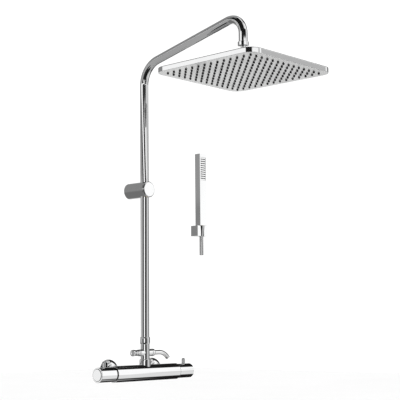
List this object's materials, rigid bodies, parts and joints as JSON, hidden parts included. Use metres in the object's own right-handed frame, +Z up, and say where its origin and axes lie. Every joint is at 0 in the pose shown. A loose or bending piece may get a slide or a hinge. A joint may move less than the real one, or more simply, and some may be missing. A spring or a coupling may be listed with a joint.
{
  "type": "rainfall shower column",
  "caption": "Wall-mounted shower column: thermostatic bar mixer, diverter tee, riser with bent arm, square rain head on a ball joint, and a stick hand shower in a forked wall holder.",
  "frame": {"origin": "centre of the wall bracket's back face, on the wall plane", "axes": "+X along the mixer bar to the right as seen from the room, +Y into the wall, +Z up"},
  "size_m": [0.4275, 0.534, 0.8658],
  "materials": {
    "chrome": "mirror polished chrome plate",
    "satin_face": "satin metal, finely bead blasted",
    "brass": "plain machined brass",
    "stainless": "turned stainless steel",
    "rubber": "smooth black rubber",
    "silicone": "matte dark silicone",
    "white_plastic": "moulded white plastic",
    "ceramic": "lapped ceramic"
  },
  "bodies": {
    "column": {"arm_tube": "chrome", "ball_stem": "chrome", "bracket_body": "chrome", "bracket_cap": "chrome", "bracket_clamp_screw": "stainless", "bracket_wall_plate": "stainless", "check_valve_left": "white_plastic", "check_valve_right": "white_plastic", "diverter_body": "chrome", "diverter_gland": "chrome", "diverter_nipple": "brass", "diverter_seat": "ceramic", "diverter_skirt": "chrome", "flow_cartridge": "brass", "holder_block": "chrome", "holder_wall_plate": "stainless", "hose_outlet_elbow": "chrome", "hose_outlet_nut": "chrome", "inlet_nut_left": "chrome", "inlet_nut_right": "chrome", "inlet_tail_left": "brass", "inlet_tail_right": "brass", "inlet_washer_left": "rubber", "inlet_washer_right": "rubber", "mixer_body": "chrome", "riser_coupling": "brass", "riser_nut": "chrome", "riser_seal": "rubber", "riser_tube": "chrome", "thermostatic_cartridge": "brass", "wall_flange_left": "chrome", "wall_flange_right": "chrome", "wall_union_left": "chrome", "wall_union_right": "chrome"},
    "temperature_handle": {"temperature_handle": "chrome", "temperature_handle_cap": "chrome", "temperature_handle_screw": "stainless", "temperature_spindle": "brass"},
    "temperature_button": {"temperature_stop_button": "chrome"},
    "flow_handle": {"flow_handle": "chrome", "flow_handle_cap": "chrome", "flow_handle_screw": "stainless", "flow_spindle": "brass"},
    "flow_button": {"flow_stop_button": "chrome"},
    "diverter_knob": {"diverter_knob": "chrome", "diverter_spindle": "brass"},
    "ball_seat": {"ball_seat": "white_plastic"},
    "ball_seal": {"ball_seal": "rubber"},
    "rain_head": {"swivel_nut": "chrome", "head_hub": "chrome", "head_cover": "chrome", "head_face_plate": "satin_face", "nozzle_mat": "silicone", "head_gasket": "rubber"},
    "hand_shower": {"handset_body": "chrome", "handset_spray_face": "chrome", "handset_nozzle_pad": "silicone", "handset_connector": "brass", "hose_cone_nut": "chrome", "hose_end_sleeve": "chrome"}
  },
  "joints": [
    {"name": "temperature_turn", "type": "hinge", "parent": "column", "child": "temperature_handle", "pos_m": [-0.135, -0.054, -0.455], "axis": [1, 0, 0], "range_deg": [-210, 60]},
    {"name": "temperature_stop_press", "type": "slide", "parent": "temperature_handle", "child": "temperature_button", "axis": [0, 0, -1], "range_m": [0, 0.0025], "stiffness_N_per_m": 500, "springref_m": -0.001},
    {"name": "flow_turn", "type": "hinge", "parent": "column", "child": "flow_handle", "pos_m": [0.135, -0.054, -0.455], "axis": [1, 0, 0], "range_deg": [0, 90]},
    {"name": "flow_stop_press", "type": "slide", "parent": "flow_handle", "child": "flow_button", "axis": [0, 0, -1], "range_m": [0, 0.0025], "stiffness_N_per_m": 500, "springref_m": -0.001},
    {"name": "diverter_turn", "type": "hinge", "parent": "column", "child": "diverter_knob", "pos_m": [-0.036, -0.054, -0.406], "axis": [1, 0, 0], "range_deg": [0, 90]},
    {"name": "head_spin", "type": "hinge", "parent": "column", "child": "ball_seat", "pos_m": [0, -0.384, 0.283], "axis": [0, 0, 1], "continuous": true},
    {"name": "head_tilt_side", "type": "hinge", "parent": "ball_seat", "child": "ball_seal", "pos_m": [0, -0.384, 0.283], "axis": [0, 1, 0], "range_deg": [-12, 12]},
    {"name": "head_tilt_front", "type": "hinge", "parent": "ball_seal", "child": "rain_head", "pos_m": [0, -0.384, 0.283], "axis": [1, 0, 0], "range_deg": [-12, 12]},
    {"name": "handset_lift", "type": "slide", "parent": "column", "child": "hand_shower", "axis": [0, 0, 1], "range_m": [0, 0.09]}
  ]
}
